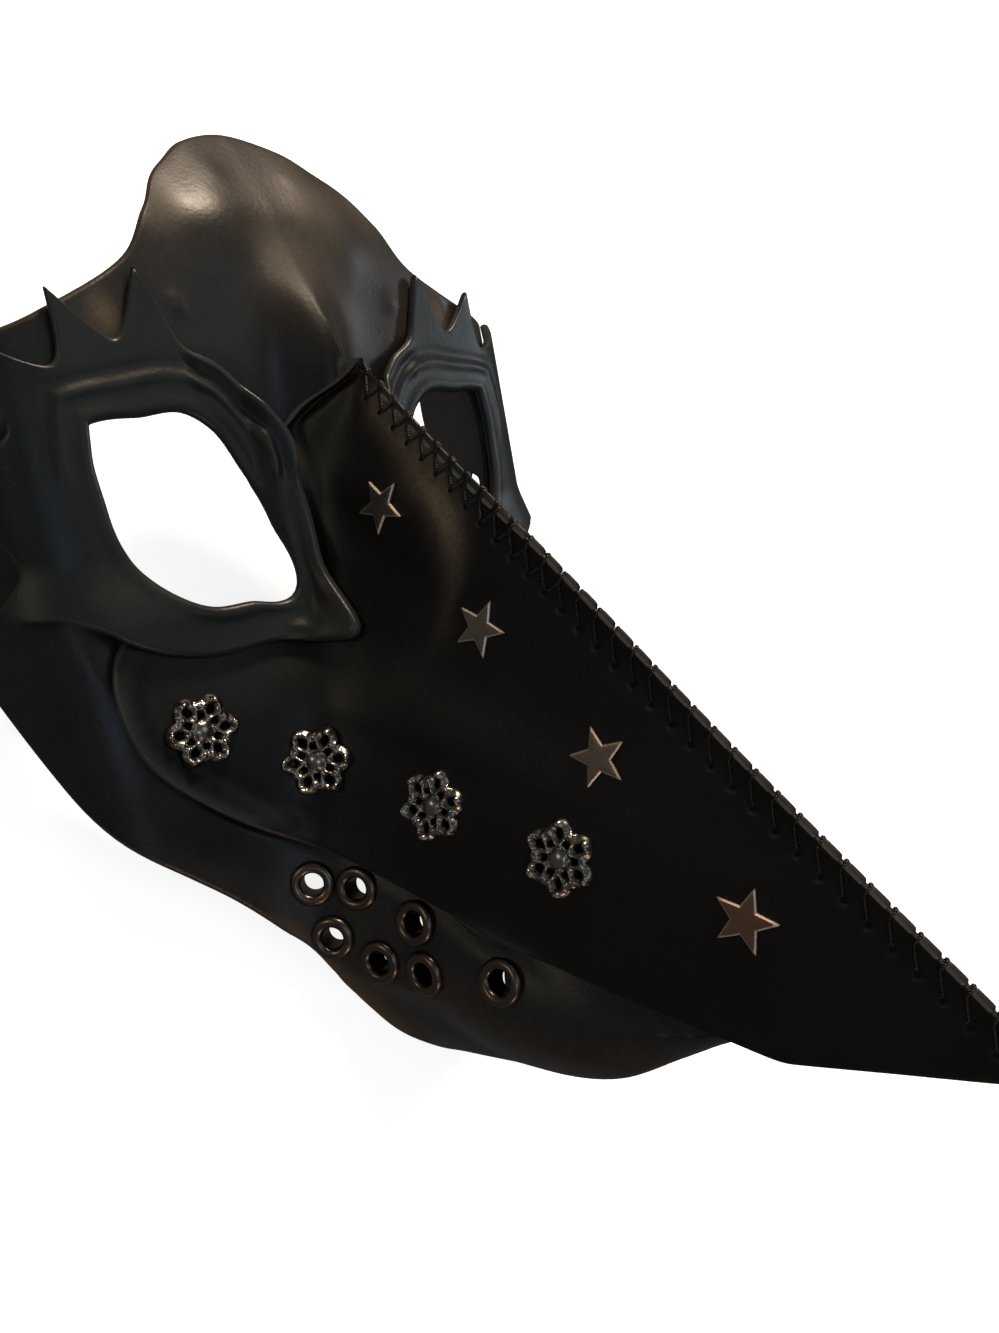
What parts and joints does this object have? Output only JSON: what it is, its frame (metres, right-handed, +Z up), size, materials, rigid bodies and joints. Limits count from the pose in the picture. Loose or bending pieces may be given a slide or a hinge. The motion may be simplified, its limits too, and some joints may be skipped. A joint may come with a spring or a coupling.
{
  "type": "plague doctor mask",
  "caption": "Full-face plague doctor mask in dark faux leather, with a long curved beak laced along its ridge, flame-edged eye patches, star and rosette studs, and jaw eyelets.",
  "frame": {"origin": "centre of the bounding box's underside, on the surface that the mask lies on", "axes": "+Z up from the surface it lies on, +Y the way the beak points, +X towards the wearer's right. It lies on its open back, on its two temples and the rim of its chin."},
  "size_m": [0.1516, 0.223, 0.1251],
  "materials": {
    "face_leather": "satin, very dark brown",
    "beak_leather": "satin, near black",
    "patch_leather": "satin, near black with a cool tint",
    "lacing_thread": "waxed dark thread",
    "star_metal": "polished gunmetal",
    "rosette_metal": "antique silver",
    "eyelet_metal": "darkened brass"
  },
  "bodies": {
    "root": {"face_panel": "face_leather", "beak_panel": "beak_leather", "eye_patch_right": "patch_leather", "eye_patch_left": "patch_leather", "ridge_lacing": "lacing_thread", "star_stud_1_right": "star_metal", "star_stud_1_left": "star_metal", "star_stud_2_right": "star_metal", "star_stud_2_left": "star_metal", "star_stud_3_right": "star_metal", "star_stud_3_left": "star_metal", "star_stud_4_right": "star_metal", "star_stud_4_left": "star_metal", "rosette_stud_1_right": "rosette_metal", "rosette_stud_1_left": "rosette_metal", "rosette_stud_2_right": "rosette_metal", "rosette_stud_2_left": "rosette_metal", "rosette_stud_3_right": "rosette_metal", "rosette_stud_3_left": "rosette_metal", "rosette_stud_4_right": "rosette_metal", "rosette_stud_4_left": "rosette_metal", "jaw_eyelet_1_right": "eyelet_metal", "jaw_eyelet_1_left": "eyelet_metal", "jaw_eyelet_2_right": "eyelet_metal", "jaw_eyelet_2_left": "eyelet_metal", "jaw_eyelet_3_right": "eyelet_metal", "jaw_eyelet_3_left": "eyelet_metal", "jaw_eyelet_4_right": "eyelet_metal", "jaw_eyelet_4_left": "eyelet_metal", "jaw_eyelet_5_right": "eyelet_metal", "jaw_eyelet_5_left": "eyelet_metal", "jaw_eyelet_6_right": "eyelet_metal", "jaw_eyelet_6_left": "eyelet_metal", "jaw_eyelet_7_right": "eyelet_metal", "jaw_eyelet_7_left": "eyelet_metal"}
  },
  "joints": []
}
